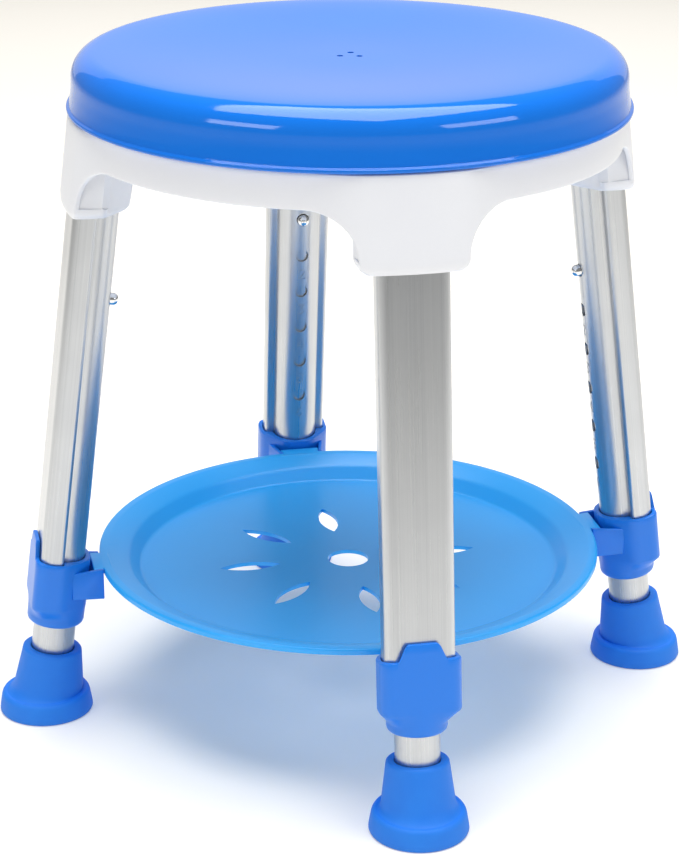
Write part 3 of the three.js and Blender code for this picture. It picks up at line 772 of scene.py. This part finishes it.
@dataclass
class BaseFrame:
    """The white frame under the seat: a skirt that drops into a socket over each leg."""

    shop: Workshop
    radius: float = 157.0
    top: float = 367.2
    deck: float = 3.0
    wall: float = 3.2
    skirt_bottom: float = 346.8
    socket_bottom: float = 314.2
    socket_half: float = 30.0
    socket_outer: float = 19.2
    socket_inner: float = -19.6
    nose_half: float = 9.0
    taper: float = -4.0
    corner: float = 6.0
    fillet: float = 25.5
    hub: float = 20.0
    deck_rings: tuple[float, ...] = (95.0, 60.0, 30.0, 7.0)

    def socket_face(self, z: float) -> float:
        """Gives the radius of a socket's outer face at a height."""
        return FOOT_CIRCLE - z * math.tan(SPLAY) + self.socket_outer / math.cos(SPLAY)

    def inner_face(self, z: float, across: float) -> float:
        """Gives how far out a socket's back stands at a height, drawn in towards its nose."""
        share = smooth(abs(across), self.nose_half - 3, self.socket_half + 1)
        depth = between(self.socket_inner, self.taper, share)
        return FOOT_CIRCLE - z * math.tan(SPLAY) + depth / math.cos(SPLAY)

    def outer_point(self, across: float, z: float, sink: float = 0.0) -> Vector:
        """Gives a point on the outer wall.

        Args:
            across: The distance from the middle of the leg, straight across.
            z: The height.
            sink: The depth under the surface, towards the stool's axis.

        Returns:
            The point in the upright frame of the leg's direction.
        """
        angle = math.asin(across / 160.0)
        share = 1 - smooth(abs(angle) * self.radius, 22, 60)
        radius = between(self.radius, self.socket_face(z), share)
        angle = math.asin(max(-1.0, min(1.0, across / radius)))
        return Vector((math.cos(angle) * (radius - sink), math.sin(angle) * (radius - sink), z))

    def columns(self) -> list[Column]:
        """Lists the stations of half a quarter, from the middle of a leg to midway to the next."""
        low = self.socket_bottom
        half = self.socket_half
        corner = self.corner
        made = [Column(x, low, Vector((0, 1)), True) for x in range(0, 23, 2)]
        for degrees in range(0, 91, 15):
            a = math.radians(degrees)
            centre = Vector((half - corner, low + corner))
            out = Vector((math.sin(a), -math.cos(a)))
            made.append(Column(*(centre + corner * out), -out, True))
        start = low + corner
        climb = self.skirt_bottom - self.fillet - start
        for k in range(1, 5):
            made.append(Column(half, start + climb * k / 5, Vector((-1, 0)), True, k / 4))
        made.append(Column(half, start + climb, Vector((-1, 0)), False))
        steps = 16
        centre = Vector((half + self.fillet, self.skirt_bottom - self.fillet))
        for k in range(1, steps + 1):
            a = math.pi / 2 * k / steps
            out = Vector((-math.cos(a), math.sin(a)))
            made.append(Column(*(centre + self.fillet * out), out, False))
        far = self.radius * math.sin(math.pi / 4)
        first = half + self.fillet
        for k in range(1, 9):
            across = between(first, far, k / 8)
            made.append(Column(across, self.skirt_bottom, Vector((0, 1)), False))
        return made

    def section(self, column: Column, share: float) -> Loop:
        """Runs one station's section from the deck's top out, down, round the edge and back in.

        Args:
            column: The station.
            share: Its place along the edge, from 0 at the leg to 1 midway.

        Returns:
            The section's points in the upright frame of the leg's direction.
        """
        far = self.radius * math.sin(math.pi / 4)
        crest = between(column.across, far * share, 0.45)
        heading = math.asin(crest / self.radius)
        spoke = Vector((math.cos(heading), math.sin(heading), 0))
        points = [spoke * r + Vector((0, 0, self.top)) for r in (7.0, 40.0, 80.0, 120.0, 148.0)]
        for sink, drop in ((1.4, 0.0), (0.4, 0.4), (0.0, 1.4)):
            points.append(self.outer_point(crest, self.top - drop, sink))

        low_share = smooth(self.skirt_bottom - column.height, 0, 26) if column.in_socket else 0.0
        low_share *= max(0.0, column.normal.y) if column.in_socket else 0.0
        lift = between(1.1, 6.0, low_share)
        depth = between(1.1, 4.2, low_share)
        edge = Vector((column.across, column.height))
        raised = edge + column.normal * lift
        for k in range(1, 12):
            part = k / 12
            at = Vector((crest, self.top - 1.4)).lerp(raised, part)
            points.append(self.outer_point(at.x, at.y))
        for k in range(5):
            a = math.pi / 2 * k / 4
            at = edge + column.normal * lift * (1 - math.sin(a))
            points.append(self.outer_point(at.x, at.y, depth * (1 - math.cos(a))))
        points += self.back_of_section(column, edge, depth, crest, spoke)
        return points

    def back_of_section(
        self, column: Column, edge: Vector, depth: float, crest: float, spoke: Vector
    ) -> Loop:
        """Runs the rest of a section: the edge's underside, the back and the deck's underside.

        Args:
            column: The station.
            edge: Its point across and up.
            depth: How deep the outer rounding went.
            crest: How far across the section stands at the deck.
            spoke: The direction of the deck's points.

        Returns:
            The points.
        """
        under = self.top - self.deck
        points: Loop = []
        if column.in_socket:
            front = self.outer_point(edge.x, edge.y, depth)
            turn = 4.0
            back = self.inner_face(edge.y, edge.x)
            for k in range(1, 4):
                points.append(Vector((between(front.x, back + turn, k / 3), edge.x, edge.y)))
            for k in range(1, 5):
                a = math.pi / 2 * k / 4
                shift = column.normal * turn * (1 - math.cos(a))
                keep = 1 - column.corner
                at = edge + Vector((shift.x * keep, shift.y))
                out = back + turn * (1 - math.sin(a) * keep)
                points.append(Vector((out, at.x, at.y)))
            low = points[-1]
            for k in range(1, 7):
                z = between(low.z, under, k / 6)
                out = self.inner_face(z, edge.x) + (low.x - back)
                points.append(Vector((out, low.y, z)))
            points += [Vector((spoke.x * r, spoke.y * r, under)) for r in self.deck_rings]
            return points
        for k in range(1, 4):
            sink = between(depth, self.wall - 0.8, k / 3)
            points.append(self.outer_point(edge.x, edge.y, sink))
        for k in range(1, 5):
            a = math.pi / 2 * k / 4
            at = edge + column.normal * 0.8 * (1 - math.cos(a))
            points.append(self.outer_point(at.x, at.y, self.wall - 0.8 + 0.8 * math.sin(a)))
        at = edge + column.normal * 0.8
        for k in range(1, 7):
            run = at.lerp(Vector((crest, under)), k / 6)
            points.append(self.outer_point(run.x, run.y, self.wall))
        points += [Vector((spoke.x * r, spoke.y * r, under)) for r in self.deck_rings]
        return points

    def skin(self) -> Solid:
        """Skins the stations all the way round."""
        half = self.columns()
        lengths = [0.0]
        for before, after in zip(half, half[1:]):
            step = math.hypot(after.across - before.across, after.height - before.height)
            lengths.append(lengths[-1] + step)
        sections = [self.section(c, lengths[k] / lengths[-1]) for k, c in enumerate(half)]
        mirrored = [[Vector((p.x, -p.y, p.z)) for p in s] for s in sections]
        quarter = list(reversed(mirrored[1:])) + sections[:-1]
        loops: list[Loop] = []
        for side in Side:
            turn = Matrix.Rotation(math.radians(side.value), 3, "Z")
            loops += [[turn @ p for p in section] for section in quarter]
        return loft(loops, ring=True)

    def ribs(self) -> list[Solid]:
        """Gives the hub, the turntable's ring and the ribs under the deck."""
        under = self.top - self.deck + 0.6
        hub = revolve(rounded([(5.4, 357), (self.hub, 357, 0.8), (self.hub, 371.9, 0.5), (5.4, 371.9)]), 64)
        boss = revolve(rounded([(33, under), (64, under), (64, 371.9, 0.5), (33, 371.9, 0.5)]), 96)
        shape = rounded([(-1.3, 352, 0.5), (1.3, 352, 0.5), (1.5, under), (-1.5, under)])
        long = lying_prism(shape, self.hub - 1, self.radius - 2)
        short = lying_prism(shape, self.hub - 1, 126)
        return [hub, boss, *long.around(4), *short.around(4, 45)]

    def cavities(self) -> list[Solid]:
        """Gives the tools that open a socket for its tube and the screw's recess."""
        cavity = OuterTube.profile(CLEARANCE)
        tools = []
        for side in Side:
            matrix = leg_in_millimetres(side)
            tools.append(prism(cavity, 300, 358.4).moved(matrix))
            tools.append(prism(circle(2.4, 24), 357, 380).moved(matrix))
            tools.append(prism(circle(5, 32), 366, 380).moved(matrix))
        return tools

    def build(self) -> None:
        """Makes the frame."""
        solid = self.skin().joined(*self.ribs()).cut(*self.cavities())
        mesh = solid.finished("base_frame_fine", self.shop.dressed(SATIN_WHITE), 30)
        self.shop.place("base_frame_fine", mesh, "base", "base_frame", "base_plastic")


# ---------------------------------------------------------------- legs


@dataclass
class OuterTube:
    """The extruded leg tube with its row of stamped holes."""

    shop: Workshop
    low: float = 72.6
    high: float = 358.0
    bore: float = 13.0
    hole: float = 4.1
    first_hole: float = 262.7
    pitch: float = 25.4
    holes: int = 6
    digit_height: float = 6.4
    digit_width: float = 3.8
    stroke: float = 0.8

    @staticmethod
    def profile(grow: float = 0.0, count: int = 180) -> Loop:
        """Gives the tube's outline, grown by a margin: a flat outer face, two lobes and a round bump."""
        half = 20.0 + grow
        lobes = rounded(
            [
                (0.2 - grow, -half, 2.5),
                (14.1 + grow, -half, 5.5),
                (14.1 + grow, half, 5.5),
                (0.2 - grow, half, 2.5),
            ]
        )
        bump = 14.1 + grow
        outline = []
        for k in range(count):
            angle = FULL_TURN * (k + 0.5) / count
            shift = Vector((6.0, 0.0))
            ray = Vector((math.cos(angle), math.sin(angle)))
            along = shift.dot(ray)
            round_reach = -along + math.sqrt(max(0.0, along * along + bump * bump - shift.length_squared))
            lobe_reach = reach([p - shift for p in lobes], angle)
            outline.append(shift + ray * max(round_reach, lobe_reach))
        return outline

    def digit(self, figure: int, middle: float) -> list[Solid]:
        """Gives the strokes of a stamped figure on the inner face.

        Args:
            figure: The figure, 2 to 6.
            middle: The height of its middle along the tube.

        Returns:
            One thin bar per stroke.
        """
        x, y = self.digit_width / 2, self.digit_height / 2
        paths = {
            2: [(-x, y * 0.6), (0, y), (x, y * 0.5), (-x, -y), (x, -y)],
            3: [(-x, y), (x, y), (0, 0.4), (x, -y * 0.45), (0, -y), (-x, -y * 0.8)],
            4: [(x * 0.5, -y), (x * 0.5, y), (-x, -y * 0.3), (x, -y * 0.3)],
            5: [(x, y), (-x, y), (-x, 0.3), (x * 0.4, 0.3), (x, -y * 0.4), (0.2, -y), (-x, -y * 0.8)],
            6: [(x * 0.7, y), (-x, 0), (-x, -y * 0.6), (0, -y), (x, -y * 0.5), (0.2, 0), (-x, -0.2)],
        }
        bars = []
        for start, end in zip(paths[figure], paths[figure][1:]):
            a, b = Vector(start), Vector(end)
            along = (b - a).normalized() * self.stroke / 2
            aside = Vector((-along.y, along.x))
            corners = [a - along - aside, b + along - aside, b + along + aside, a - along + aside]
            outline = [Vector((-p.x, p.y + middle)) for p in corners]
            bars.append(lying_prism(outline, -16, -13.72))
        return bars

    def build(self, legs: Sequence[Side]) -> None:
        """Makes the tube and sets it on each leg."""
        outer = self.profile()
        inner = [p.normalized() * self.bore for p in outer]
        rows = 30
        heights = [between(self.low, self.high, k / rows) for k in range(rows + 1)]
        loops = [at_height(outer, z) for z in heights] + [at_height(inner, z) for z in reversed(heights)]
        solid = loft(loops, ring=True)
        tools = []
        for k in range(self.holes):
            middle = self.first_hole - k * self.pitch
            tools.append(lying_prism(circle(self.hole, 40, 0, middle), -20, -6))
            if k:
                for bar in self.digit(k + 1, middle - self.pitch / 2):
                    tools.append(bar)
        mesh = solid.cut(*tools).finished("outer_tube_fine", self.shop.dressed(SATIN_ALUMINIUM), 30)
        for side in legs:
            name = f"outer_tube_{side.label}"
            self.shop.place(name + "_fine", mesh, "base", name, "satin_aluminium", side.place)


@dataclass
class InnerTube:
    """The sliding round tube with the snap button and the spring inside it."""

    shop: Workshop
    radius: float = 12.7
    bore: float = 11.5
    low: float = 7.8
    high: float = 300.0
    button_radius: float = 3.7
    button_base: float = -10.9
    button_tip: float = -19.0
    hole: float = 4.1
    hole_height: float = 262.7

    def build(self, legs: Sequence[Side]) -> None:
        """Makes the tube and the button and sets them on each leg."""
        wall = rounded(
            [
                (self.bore, self.low),
                (self.radius, self.low, 0.3),
                (self.radius, self.high, 0.3),
                (self.bore, self.high),
            ]
        )
        tube = revolve(wall, 96).cut(lying_prism(circle(self.hole, 40, 0, self.hole_height), -20, -6))
        tube_mesh = tube.finished("inner_tube_fine", self.shop.dressed(SATIN_ALUMINIUM))
        button_mesh = self.button().finished("snap_button_fine", self.shop.dressed(BRIGHT_CHROME), 40)
        for side in legs:
            tube_name = f"inner_tube_{side.label}"
            body = f"leg_{side.label}"
            self.shop.place(tube_name + "_fine", tube_mesh, body, tube_name, "satin_aluminium", side.place)
            name = f"snap_button_{side.label}"
            self.shop.place(
                name + "_fine", button_mesh, f"button_{side.label}", name, "bright_chrome", side.place
            )
            self.shop.carry_over(SPRING_STEEL, f"v_spring_{side.label}")
            self.shop.carry_over(NATURAL_NYLON, f"end_plug_{side.label}")
            self.shop.carry_over(ZINC, f"leg_screw_{side.label}", f"foot_washer_{side.label}")

    def button(self) -> Solid:
        """Turns the button with its domed end."""
        length = self.button_base - self.button_tip
        dome = self.button_radius
        shoulder = length - dome * 0.92
        profile = [Vector((0, 0)), Vector((dome, 0)), Vector((dome, shoulder))]
        for k in range(1, 13):
            a = math.pi / 2 * k / 12
            profile.append(Vector((dome * math.cos(a), shoulder + dome * 0.92 * math.sin(a))))
        place = Matrix.Translation((self.button_base, 0, self.hole_height))
        return revolve(profile, 48).moved(place @ Matrix.Rotation(-math.pi / 2, 4, "Y"))


@dataclass
class Collar:
    """The collar on each tube whose wings carry the tray."""

    shop: Workshop
    half_width: float = 23.0
    face: float = 17.1
    ring_radius: float = 17.1
    bottom: float = 58.7
    chamfer_low: float = 64.5
    chamfer_high: float = 73.0
    rim: float = 102.0
    face_rim: float = 103.2
    tab_top: float = 112.9
    tab_half: float = 8.6
    tab_foot: float = 15.0
    ledge: float = 72.3
    steps: int = 240
    tip: float = 152.6
    root: float = 172.0
    gap: float = 12.0
    wing: float = 2.5
    flare: float = 0.213
    wing_low: float = 79.0
    floor: float = 81.3
    wing_high: float = 94.1

    def rim_height(self, point: Vector) -> float:
        """Gives the rim's height: level, with a tab raised on the outer face."""
        level = between(self.rim, self.face_rim, smooth(point.x, 6, 16))
        if point.x < 2:
            return level
        share = 1 - smooth(abs(point.y), self.tab_half, self.tab_foot)
        return level + (self.tab_top - level) * share

    def body(self) -> Solid:
        """Skins the collar round the tube, outside and in."""
        angles = [FULL_TURN * (k + 0.5) / self.steps for k in range(self.steps)]
        rays = [Vector((math.cos(a), math.sin(a))) for a in angles]
        half = self.half_width
        plan_outline = rounded(
            [
                (self.face, -half, 7),
                (self.face, half, 7),
                (-1, half, 12),
                (-self.face, 8.4, 11),
                (-self.face, -8.4, 11),
                (-1, -half, 12),
            ],
            4.0,
        )
        cavity_outline = OuterTube.profile(CLEARANCE, 360)
        plan = [ray * reach(plan_outline, a) for ray, a in zip(rays, angles)]
        cavity = [ray * reach(cavity_outline, a) for ray, a in zip(rays, angles)]
        ring = [ray * self.ring_radius for ray in rays]
        rims = [self.rim_height(p) for p in plan]
        loops = [
            at_height([p - r * 2.6 for p, r in zip(ring, rays)], self.bottom),
            at_height([p - r * 1.3 for p, r in zip(ring, rays)], self.bottom + 0.35),
            at_height([p - r * 0.4 for p, r in zip(ring, rays)], self.bottom + 1.3),
            at_height(ring, self.bottom + 2.8),
            at_height(ring, self.chamfer_low - 0.8),
            at_height([p.lerp(q, 0.04) for p, q in zip(ring, plan)], self.chamfer_low + 0.3),
            at_height(
                [p.lerp(q, 0.5) for p, q in zip(ring, plan)],
                (self.chamfer_low + self.chamfer_high) / 2,
            ),
            at_height([p.lerp(q, 0.94) for p, q in zip(ring, plan)], self.chamfer_high - 0.8),
            at_height([p.lerp(q, 0.995) for p, q in zip(ring, plan)], self.chamfer_high + 0.2),
            at_height(plan, self.chamfer_high + 1.4),
        ]
        start = self.chamfer_high + 1.4
        edge = 1.0
        for k in range(1, 9):
            loops.append([self.lifted(p, between(start, rim - edge, k / 8)) for p, rim in zip(plan, rims)])
        for sink, drop in ((0.3, 0.3), (1.0, 0.0)):
            loops.append([self.lifted(p - r * sink, rim - drop) for p, r, rim in zip(plan, rays, rims)])
        for sink, drop in ((0.4, 0.0), (0.0, 0.4)):
            loops.append([self.lifted(c + r * sink, rim - drop) for c, r, rim in zip(cavity, rays, rims)])
        for k in range(1, 5):
            loops.append([self.lifted(c, between(rim, self.ledge, k / 4)) for c, rim in zip(cavity, rims)])
        bore = [ray * 13.1 for ray in rays]
        loops.append(at_height(bore, self.ledge))
        loops.append(at_height(bore, self.bottom + 0.6))
        loops.append(at_height([ray * 13.6 for ray in rays], self.bottom))
        return loft(loops, ring=True)

    @staticmethod
    def lifted(point: Vector, z: float) -> Vector:
        """Lifts a flat point to a height."""
        return Vector((point.x, point.y, z))

    def spread(self, x: float) -> float:
        """Gives half the space between the wings at a distance from the stool's axis."""
        return self.gap + (x - self.tip) * self.flare

    def wings(self) -> list[Solid]:
        """Gives the two wings and the plate between them, their undersides square to the leg."""
        box = [Vector(p) for p in ((-70, -50), (30, -50), (30, 50), (-70, 50))]
        below = prism(box, 30, self.wing_low)
        above = prism(box, self.floor, 130)
        parts = []
        for side in (1, -1):
            inner = [(self.tip, side * self.spread(self.tip)), (self.root, side * self.spread(self.root))]
            outer = [(x, y + side * self.wing) for x, y in reversed(inner)]
            outline = [Vector(p) for p in (*inner, *outer)]
            parts.append(upright_to_leg(prism(outline, 60, self.wing_high)).cut(below).softened(0.55))
        plate = rounded([(self.tip + 0.6, -13), (164, -13), (164, 13), (self.tip + 0.6, 13)])
        parts.append(upright_to_leg(prism(plate, 60, 95)).cut(below, above).softened(0.4))
        return parts

    def build(self, legs: Sequence[Side]) -> None:
        """Makes the collar and sets it on each leg."""
        tool = prism(OuterTube.profile(CLEARANCE), self.ledge, self.tab_top + 5)
        wings = [wing.cut(tool) for wing in self.wings()]
        mesh = self.body().joined(*wings).finished("collar_fine", self.shop.dressed(COLLAR_BLUE), 34)
        for side in legs:
            name = f"collar_{side.label}"
            self.shop.place(name + "_fine", mesh, "base", name, "blue_plastic", side.place)


@dataclass
class Foot:
    """The flared foot: a flat flange with a cone that leans with the leg."""

    shop: Workshop
    steps: int = 128
    flange: tuple[tuple[float, float], ...] = (
        (26.9, 0.0),
        (27.8, 0.35),
        (28.2, 1.2),
        (27.9, 3.5),
        (26.9, 9.4),
        (26.5, 10.8),
        (25.8, 11.9),
        (24.8, 12.4),
        (24.0, 12.5),
        (23.6, 12.35),
        (23.2, 12.45),
    )
    blend: tuple[tuple[float, float, float], ...] = (
        (22.3, 12.9, 0.25),
        (21.5, 13.8, 0.55),
        (21.05, 15.2, 0.85),
    )
    cone: tuple[tuple[float, float], ...] = (
        (20.8, 17.0),
        (19.9, 24.0),
        (18.8, 32.0),
        (17.95, 38.6),
        (17.7, 39.9),
        (17.1, 40.6),
        (16.2, 40.8),
        (13.5, 40.8),
        (13.0, 40.3),
        (13.0, 24.0),
        (13.0, 5.7),
    )

    def loops(self) -> list[Loop]:
        """Gives level loops for the flange and leaning loops for the cone, in the leg's frame."""
        upright = Matrix.Rotation(SPLAY, 3, "Y")
        made = []
        rows = [(r, z, 0.0) for r, z in self.flange] + list(self.blend) + [(r, z, 1.0) for r, z in self.cone]
        for radius, z, lean in rows:
            level = at_height(circle(radius, self.steps), z)
            made.append([(upright @ p).lerp(p, lean) for p in level])
        return made

    def build(self, legs: Sequence[Side]) -> None:
        """Makes the foot and sets it on each leg."""
        mesh = loft(self.loops()).finished("foot_fine", self.shop.dressed(FOOT_BLUE), 40)
        for side in legs:
            name = f"foot_{side.label}"
            self.shop.place(name + "_fine", mesh, f"leg_{side.label}", name, "foot_rubber", side.place)


# ---------------------------------------------------------------- tray


@dataclass
class Tray:
    """The drained tray that hooks into the collars."""

    shop: Workshop
    radius: float = 152.7
    rim_top: float = 94.1
    rim_low: float = 90.3
    floor_top: float = 82.0
    floor_low: float = 79.6
    drain: float = 12.5
    petals: int = 8
    petal_inner: float = 42.5
    petal_outer: float = 80.0
    petal_width: float = 11.5
    steps: int = 256

    def bowl(self) -> Solid:
        """Turns the dished plate with its raised rim."""
        profile = rounded(
            [
                (0, self.floor_low),
                (129, self.floor_low, 4),
                (136.5, 86.4, 7),
                (148.5, self.rim_low, 4),
                (self.radius, self.rim_low, 0.6),
                (self.radius, self.rim_top, 1.3),
                (147.5, self.rim_top, 5),
                (134.8, 89.4, 9),
                (127.6, self.floor_top, 4),
                (0, self.floor_top),
            ]
        )
        return revolve(profile, self.steps)

    def petal(self) -> Solid:
        """Gives the cutter of one leaf-shaped slot."""
        length = self.petal_outer - self.petal_inner
        middle = (self.petal_outer + self.petal_inner) / 2
        half = self.petal_width / 2
        bow = (length * length / 4 + half * half) / (2 * half)
        sweep = math.asin(length / 2 / bow)
        outline = []
        steps = 14
        for side in (1, -1):
            for k in range(steps):
                a = sweep * (1 - 2 * k / steps) * side
                outline.append(Vector((middle + bow * math.sin(a), side * (half - bow * (1 - math.cos(a))))))
        return prism(outline, self.floor_low - 3, self.floor_top + 3)

    def tab(self) -> Solid:
        """Makes one tab with the downward lip that hooks behind a collar's plate."""
        tip, gap, flare = Collar.tip, Collar.gap - CLEARANCE, Collar.flare

        def spread(x: float) -> float:
            """Gives half the tab's width at a distance from the stool's axis."""
            return gap + (x - tip) * flare

        def plank(low_x: float, high_x: float, low_z: float) -> Solid:
            """Makes a tapered plank up to the rim's height."""
            low_half, high_half = spread(low_x), spread(high_x)
            corners = [(low_x, -low_half), (high_x, -high_half), (high_x, high_half), (low_x, low_half)]
            return prism([Vector(p) for p in corners], low_z, self.rim_top).softened(0.6)

        return plank(147.0, 158.2, self.rim_low).joined(plank(153.4, 158.2, 78.7))

    def build(self) -> None:
        """Makes the tray."""
        solid = self.bowl().joined(*self.tab().around(4, 45))
        drain = prism(circle(self.drain, 96), self.floor_low - 3, self.floor_top + 3)
        solid = solid.cut(drain, *self.petal().around(self.petals, 45))
        mesh = solid.finished("tray_fine", self.shop.dressed(TRAY_BLUE_PAINTED_BRIGHTER), 30)
        self.shop.place("tray_fine", mesh, "shelf", "tray", "blue_plastic")


# ---------------------------------------------------------------- studio


@dataclass
class Studio:
    """A pale floor, soft lights and the camera."""

    eye: tuple[float, float, float] = (0.7311, -1.1341, 0.6803)
    pitch: float = 0.3634
    heading: float = 0.5767
    roll: float = 0.0023
    lens: float = 100.13
    floor_size: float = 14.0

    def floor(self) -> None:
        """Lays the floor, which glows faintly warm: a painted light that lifts its shadows."""
        half = self.floor_size / 2
        mesh = bpy.data.meshes.new("floor")
        corners = [(-half, -half, 0), (half, -half, 0), (half, half, 0), (-half, half, 0)]
        mesh.from_pydata(corners, [], [(0, 1, 2, 3)])
        look = Look("pale_floor")
        cloud = look.noise(look.place(), 3.0, 2.0)
        look.set(
            base_color=look.blend(cloud, (0.93, 0.905, 0.86), (0.92, 0.895, 0.85)),
            roughness=0.7,
            # painted light: the floor glows warm (emission) to brighten and warm the shadows cast on it; it
            # is no lamp
            emission_color=(1.0, 0.92, 0.72, 1.0),
            emission_strength=0.14,
        )
        mesh.materials.append(look.material)
        floor = bpy.data.objects.new("floor", mesh)
        bpy.context.scene.collection.objects.link(floor)

    def panel(
        self, name: str, place: tuple[float, float, float], size: tuple[float, float], power: float
    ) -> None:
        """Hangs a soft light that faces the stool.

        Args:
            name: The light's name.
            place: Where it hangs, in metres.
            size: Its width and height, in metres.
            power: Its power, in watts.
        """
        lamp = bpy.data.lights.new(name, "AREA")
        lamp.shape = "RECTANGLE"
        lamp.size, lamp.size_y = size
        lamp.energy = power
        holder = bpy.data.objects.new(name, lamp)
        holder.location = place
        aim = Vector((0, 0, 0.25)) - Vector(place)
        holder.rotation_euler = aim.to_track_quat("-Z", "Y").to_euler()
        bpy.context.scene.collection.objects.link(holder)

    def lights(self) -> None:
        """Sets the lights and the sky."""
        self.panel("top_softbox", (0.0, 0.1, 2.4), (2.2, 2.2), 80.0)
        self.panel("left_softbox", (-0.28, -1.63, 0.94), (0.85, 0.42), 5.5)
        self.panel("right_softbox", (1.64, -0.14, 0.94), (0.95, 0.42), 5.5)
        self.panel("back_softbox", (-1.2, 1.9, 0.9), (3.2, 1.5), 7.0)
        world = bpy.data.worlds.new("studio")
        world.use_nodes = True
        world.node_tree.nodes["Background"].inputs["Color"].default_value = (1, 1, 1, 1)
        world.node_tree.nodes["Background"].inputs["Strength"].default_value = 0.24
        bpy.context.scene.world = world
        bpy.context.scene.view_settings.view_transform = "Standard"

    def camera(self) -> None:
        """Sets the camera."""
        data = bpy.data.cameras.new("camera")
        data.lens = self.lens
        data.sensor_width = 36.0
        data.clip_end = 50.0
        holder = bpy.data.objects.new("camera", data)
        turn = Euler((math.pi / 2 - self.pitch, 0, self.heading), "XYZ").to_matrix()
        turn = turn @ Matrix.Rotation(self.roll, 3, "Z")
        holder.matrix_world = Matrix.Translation(self.eye) @ turn.to_4x4()
        bpy.context.scene.collection.objects.link(holder)
        bpy.context.scene.camera = holder

    def build(self) -> None:
        """Sets up the studio."""
        self.floor()
        self.lights()
        self.camera()


def main() -> None:
    """Builds every piece, then the studio, logging each piece's face count."""
    logging.basicConfig(level=logging.INFO, format="%(name)s: %(message)s")
    shop = Workshop()
    legs = list(Side)
    Seat(shop).build()
    BaseFrame(shop).build()
    OuterTube(shop).build(legs)
    InnerTube(shop).build(legs)
    Collar(shop).build(legs)
    Foot(shop).build(legs)
    Tray(shop).build()
    Studio().build()


if __name__ == "__main__":
    main()
